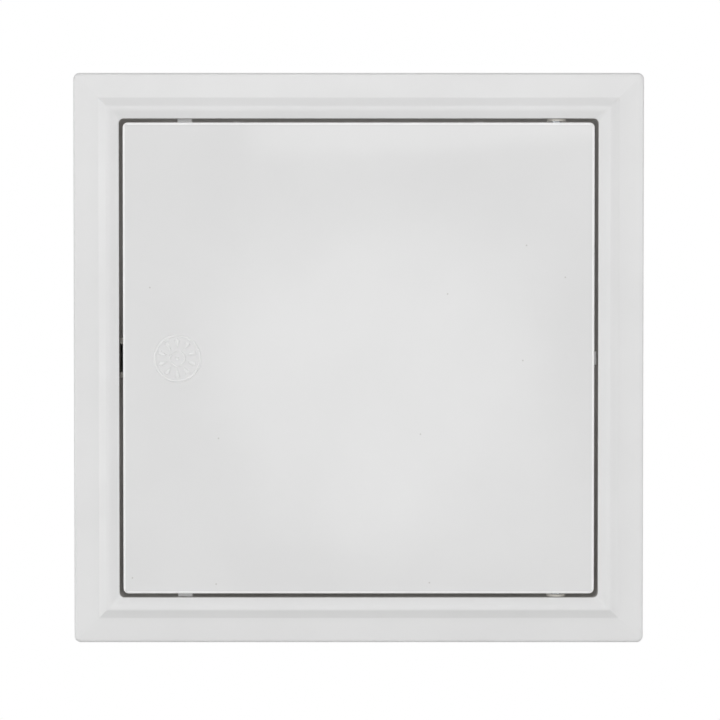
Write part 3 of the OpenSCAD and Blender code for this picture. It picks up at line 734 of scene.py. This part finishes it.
def square_loop(half, radius):
    """Points round a square with round corners."""
    loop = []
    for corner in range(4):
        loop += [corner_point(half, radius, corner, k / CORNER_STEPS) for k in range(CORNER_STEPS + 1)]
        start, end = loop[-1], corner_point(half, radius, corner + 1, 0)
        for k in range(1, SIDE_STEPS):
            loop.append(tuple(p + (q - p) * k / SIDE_STEPS for p, q in zip(start, end)))
    return loop


def leaf_plate():
    """The leaf's plate: rounded edge, round corners and a slightly bowed front."""
    # how far in from the leaf's edge, depth: up the edge, round it and over the front
    path = [(0.3, LEAF_BACK), (0.1, LEAF_BACK - 0.1), (0.0, LEAF_BACK - 0.3), (0.0, EDGE_Y + 0.2)]
    path += [(EDGE_ROUND - x, EDGE_Y - y) for x, y in arc(0, 0, EDGE_ROUND, 0, 90, 8)]
    path += [(inset, LEAF_FRONT) for inset in FRONT_RINGS]
    shape = bmesh.new()
    loops = []
    for inset, y in path:
        loop = square_loop(LEAF - inset, max(RING_ROUND, LEAF_ROUND - inset))
        bow = [crown(x, z) if y == LEAF_FRONT else 0.0 for x, z in loop]
        loops.append([shape.verts.new((x * MM, (y - b) * MM, z * MM)) for (x, z), b in zip(loop, bow)])
    for a, b in zip(loops, loops[1:]):
        for k in range(len(a)):
            n = (k + 1) % len(a)
            shape.faces.new((a[k], a[n], b[n], b[k]))
    shape.faces.new(loops[0])
    last = loops[-1]
    middle = shape.verts.new((0, (LEAF_FRONT - LEAF_CROWN) * MM, 0))
    for k in range(len(last)):
        shape.faces.new((last[k], last[(k + 1) % len(last)], middle))
    return finished(shape, crease=40)


leaf = piece("leaf_plate", leaf_plate(), "leaf", polished_abs, "white_abs", "door_leaf")
# satin at the back, a pale line painted as a highlight along the front edge
leaf.data.materials.append(satin_abs)
leaf.data.materials.append(edge_highlight_abs)
for each in leaf.data.polygons:
    wide = max(abs(each.center.x), abs(each.center.z))
    if each.normal.y > 0.9:
        each.material_index = 1
    elif wide > (LEAF - EDGE_HIGHLIGHT_WIDTH) * MM and each.center.y < EDGE_Y * MM:
        each.material_index = 2
ribs = softened("door_leaf", edge=0.22, behind=LEAF_BACK)
piece("leaf_ribs_and_ears", ribs, "leaf", satin_abs, "white_abs")

# round ejector marks in the cells between the ribs, by radius and height on the leaf's back
across, up = EJECTOR_STEP
first_ejector = (EJECTOR_X, LEAF_BACK, -(EJECTORS - 1) / 2 * up)
ejector_outline = [(0, -0.1), (3.1, -0.1), (3.1, 0.12), (2.95, 0.16), (2.6, 0.16), (2.5, 0.06), (0, 0.06)]
shape = bmesh.new()
turned(shape, ejector_outline, (0, 1, 0), first_ejector, ring=False, steps=32)
marks = grown(rows, finished(shape), count=EJECTORS, step=(across * MM, 0, 0), material=satin_abs)
marks = grown(rows, marks, count=EJECTORS, step=(0, 0, up * MM), material=satin_abs)
piece("leaf_ejector_marks", smooth(marks), "leaf", satin_abs, "white_abs")


def bead(middle, wide, high):
    """Half-round section of a raised ring, in millimetres."""
    top = [(middle + wide / 2 * x, high * y) for x, y in arc(0, 0, 1, 180, 0, 10)]
    return [(middle - wide / 2, MARK_FOOT)] + top + [(middle + wide / 2, MARK_FOOT)]


# push mark: two rings and a dot, with plain ticks in the band between the rings, all in the frosted white
# lightened as a painted highlight
tick_outline = [(4.1, 0.0), (5.8, -0.55), (7.4, -1.0), (8.0, 0.0), (7.4, 1.0), (5.8, 0.55)]
tick = plate(tick_outline, MARK_FOOT, MARK_HIGH)
bmesh.ops.rotate(tick, cent=(0, 0, 0), matrix=Matrix.Rotation(math.pi / 2, 3, "X"), verts=tick.verts)
tick_rim = [e for e in tick.edges if all(v.co.y < MARK_FOOT * MM for v in e.verts)]
rounded(tick, tick_rim, TICK_ROUND * MM, 4)
tick_mesh = finished(tick, crease=80)
ticks = grown(turns, tick_mesh, count=TICKS, first=math.pi / TICKS, material=frosted_abs_painted_highlight)
shape = bmesh.new()
shape.from_mesh(ticks)
outwards, middle = (0, -1, 0), (0, 0, 0)
dot_outline = [(DOT_RADIUS * x, DOT_HIGH * y) for x, y in arc(0, 0, 1, 0, 84, 6)]
dot_outline = [(0, MARK_FOOT), *dot_outline, (0, DOT_HIGH)]
turned(shape, bead(middle=9.2, wide=1.0, high=MARK_HIGH), outwards, middle, steps=96)
turned(shape, bead(middle=3.0, wide=0.75, high=0.24), outwards, middle)
turned(shape, dot_outline, outwards, middle, ring=False, steps=32)
mark_y = LEAF_FRONT - crown(MARK_X, 0)
bmesh.ops.translate(shape, vec=(MARK_X * MM, mark_y * MM, 0), verts=shape.verts)
piece("leaf_push_mark", finished(shape, crease=50), "leaf", frosted_abs_painted_highlight, "white_abs")


# Hinge

for end in ("upper", "lower"):
    bush, pin = f"hinge_bush_{end}", f"hinge_pin_{end}"
    piece(f"bush_{end}", softened(bush, edge=0.18), "frame", nylon, "natural_nylon", bush)
    piece(f"pin_{end}", softened(pin, edge=0.2), "hinge_pins", zinc, "zinc_steel", pin)
clips = softened("pin_clips", edge=0.1)
piece("clips_of_pins", clips, "hinge_pins", wire_steel, "spring_steel", "pin_clips")


# Latch

housing = softened("latch_housing", edge=0.25)
piece("latch_body", housing, "frame", nylon, "natural_nylon", "latch_housing")
piece("latch_lid", softened("latch_cover", edge=0.25), "frame", acetal, "grey_acetal", "latch_cover")
piece("striker_arrow", softened("striker", edge=0.15), "leaf", nylon, "natural_nylon", "striker")
carriage = softened("latch_carriage", edge=0.15)
piece("carriage_block", carriage, "carriage", acetal, "grey_acetal", "latch_carriage")

# track wire: a hook into the heart track, a long arm, and a foot in the cover
low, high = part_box("track_pin")
hook_y, foot_y = low.y + TRACK_SOLID * MM, high.y - TRACK_SOLID * MM
arm_x = high.x - TRACK_FOOT * MM
wire_path = bpy.data.meshes.new("wire_path")
wire_path.from_pydata(
    [(low.x, hook_y, 0), (arm_x, hook_y, 0), (arm_x, foot_y, 0), (high.x, foot_y, 0)],
    [(0, 1), (1, 2), (2, 3)],
    [],
)
wire = grown(bent_tree(), wire_path, wire=TRACK_WIRE * MM, bend=TRACK_BEND * MM, material=wire_steel)
piece("track_wire", smooth(wire), "frame", wire_steel, "spring_steel", "track_pin")

for end in ("upper", "lower"):
    jaw, axle = f"jaw_{end}", f"jaw_pin_{end}"
    piece(f"jaw_{end}_hook", softened(jaw, edge=0.12), jaw, nylon, "natural_nylon", jaw)
    piece(f"jaw_{end}_axle", softened(axle, edge=0.12), "carriage", zinc, "zinc_steel", axle)

# screws with a rolled thread
no_mesh = bpy.data.meshes.new("empty")
thread = grown(
    coil, no_mesh, turns=10.0, radius=1.36 * MM, height=9.0 * MM, wire=0.16 * MM, sides=4, material=zinc
)
thread_start = Vector((THREAD_X, SCREW_Y, -SCREW_Z)) * MM
thread.transform(Matrix.Translation(thread_start) @ Matrix.Rotation(math.pi / 2, 4, "Y"))
threads = grown(rows, thread, count=2, step=(0, 0, 2 * SCREW_Z * MM), material=zinc)
shape = bmesh.new()
shape.from_mesh(softened("latch_screws", edge=0.22))
shape.from_mesh(threads)
piece("screws_of_latch", finished(shape), "frame", zinc, "zinc_steel", "latch_screws")

# spring: a coil from its front end by the carriage to its rear end on the housing
low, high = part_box("latch_spring")
front_end, rear_end = Vector((LATCH_X * MM, low.y, 0)), Vector((LATCH_X * MM, high.y, 0))
spring_wire = 0.35 * MM
spring = grown(
    coil,
    no_mesh,
    turns=8.0,
    radius=2.65 * MM,
    height=high.y - low.y - 2 * spring_wire,
    wire=spring_wire,
    sides=12,
    material=wire_steel,
)
spring_start = front_end + Vector((0, spring_wire, 0))
spring.transform(Matrix.Translation(spring_start) @ Matrix.Rotation(-math.pi / 2, 4, "X"))
spring = piece("spring_of_latch", smooth(spring), None, wire_steel, "spring_steel", "latch_spring")
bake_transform(spring)


# Floor, light and camera, in metres

FLOOR_Z = -0.38
FLOOR_REACH = 0.62
FADE_START, FADE_END = 0.1, 0.6  # the floor turns white between these distances from its middle
LAMP_WAY = (0.0077, -0.99929, -0.037)  # towards the round lamp that polished faces show
LOOK_DOWN = math.radians(1.64)  # tilt of the camera

shape = bmesh.new()
bmesh.ops.create_circle(shape, cap_ends=True, radius=FLOOR_REACH, segments=96)
bmesh.ops.translate(shape, vec=(0, 0, FLOOR_Z), verts=shape.verts)
floor_mesh = bpy.data.meshes.new("floor")
shape.to_mesh(floor_mesh)
shape.free()
floor = bpy.data.objects.new("floor", floor_mesh)
scene.collection.objects.link(floor)
# pale matt floor that runs out into the white of the background
floor_paint = bpy.data.materials.new("pale_matt_floor")
floor_paint.use_nodes = True
tree = floor_paint.node_tree
tree.nodes.clear()
place = put(tree, "ShaderNodeTexCoord")["Object"]
away = put(tree, "ShaderNodeVectorMath", {0: place, 1: (1, 1, 0)}, operation="MULTIPLY")[0]
away = put(tree, "ShaderNodeVectorMath", {0: away}, operation="LENGTH")["Value"]
fade = put(
    tree,
    "ShaderNodeMapRange",
    {"Value": away, "From Min": FADE_START, "From Max": FADE_END, "To Min": 0.55, "To Max": 1.0},
    interpolation_type="SMOOTHSTEP",
)[0]
paint = put(tree, "ShaderNodeBsdfDiffuse", {"Color": linear("#F4F4F3")})[0]
glow = put(tree, "ShaderNodeEmission", {"Color": (1, 1, 1, 1), "Strength": 1.0})[0]
rays = put(tree, "ShaderNodeLightPath")
seen = put(tree, "ShaderNodeMath", {0: fade, 1: rays["Is Camera Ray"]}, operation="MULTIPLY")[0]
blend = put(tree, "ShaderNodeMixShader", {0: seen, 1: paint, 2: glow})[0]
put(tree, "ShaderNodeOutputMaterial", {0: blend})
floor_mesh.materials.append(floor_paint)

world = bpy.data.worlds.new("studio")
scene.world = world
world.use_nodes = True
tree = world.node_tree
tree.nodes.clear()
rays = put(tree, "ShaderNodeLightPath")
seen = put(
    tree, "ShaderNodeMath", {0: rays["Is Camera Ray"], 1: rays["Is Glossy Ray"]}, operation="MAXIMUM"
)[0]
seen = put(tree, "ShaderNodeMath", {0: seen, 1: rays["Is Transmission Ray"]}, operation="MAXIMUM")[0]
# the room is bright in front of the panel and dim behind it
way = put(tree, "ShaderNodeTexCoord")["Generated"]
toward = put(tree, "ShaderNodeSeparateXYZ", {0: way})["Y"]
level = put(
    tree,
    "ShaderNodeMapRange",
    {"Value": toward, "From Min": -0.1, "From Max": 0.22, "To Min": 0.51, "To Max": 0.07},
)[0]
dim = put(tree, "ShaderNodeBackground", {"Color": (1, 1, 1, 1), "Strength": level})[0]
# polished faces also show a round, soft lamp just below the camera
nearness = put(tree, "ShaderNodeVectorMath", {0: way, 1: LAMP_WAY}, operation="DOT_PRODUCT")["Value"]
glow = put(
    tree,
    "ShaderNodeMapRange",
    {"Value": nearness, "From Min": 0.9970, "From Max": 0.9997, "To Min": 0.0, "To Max": 1.3},
    interpolation_type="SMOOTHSTEP",
)[0]
shown = put(
    tree, "ShaderNodeMath", {0: glow, 1: rays["Is Glossy Ray"], 2: 1.0}, operation="MULTIPLY_ADD"
)[0]
white = put(tree, "ShaderNodeBackground", {"Color": (1, 1, 1, 1), "Strength": shown})[0]
blend = put(tree, "ShaderNodeMixShader", {0: seen, 1: dim, 2: white})[0]
put(tree, "ShaderNodeOutputWorld", {0: blend})


def lamp(name, place, aim, size, power):
    """A softbox, in metres and watts."""
    light = bpy.data.lights.new(name, "AREA")
    light.shape = "RECTANGLE"
    light.size, light.size_y = size
    light.energy = power
    made = bpy.data.objects.new(name, light)
    made.location = place
    made.rotation_mode = "QUATERNION"
    made.rotation_quaternion = (Vector(aim) - Vector(place)).to_track_quat("-Z", "Y")
    scene.collection.objects.link(made)


lamp("softbox_front", (-0.1, -2.6, 0.1), aim=(0, 0, 0), size=(2.4, 2.4), power=12)
lamp("softbox_left", (-2.3, -1.2, 0.0), aim=(0, 0, 0), size=(1.0, 1.0), power=16)
lamp("softbox_right", (2.2, -1.4, -0.1), aim=(0, 0, 0), size=(1.0, 1.0), power=12)
lamp("softbox_above", (0.47, -2.3, 0.6), aim=(0.47, 0, 0.6), size=(1.2, 0.83), power=3)
lamp("softbox_top", (0, -0.8, 0.35), aim=(0, 0, 0.1), size=(0.3, 0.15), power=0.5)
lamp("softbox_behind", (-0.14, 2.2, 0.1), aim=(0, 0, 0), size=(0.4, 0.4), power=15.5)

# a long lens that looks slightly down on the panel
camera_data = bpy.data.cameras.new("camera")
camera_data.lens = 160.0
camera_data.sensor_width = 36.0
camera_data.clip_start, camera_data.clip_end = 0.05, 50.0
camera = bpy.data.objects.new("camera", camera_data)
camera.location = (0.00055, -1.3061, 0.0366)
camera.rotation_euler = (math.pi / 2 - LOOK_DOWN, 0, 0)
scene.collection.objects.link(camera)
scene.camera = camera

scene.view_settings.view_transform = "Standard"
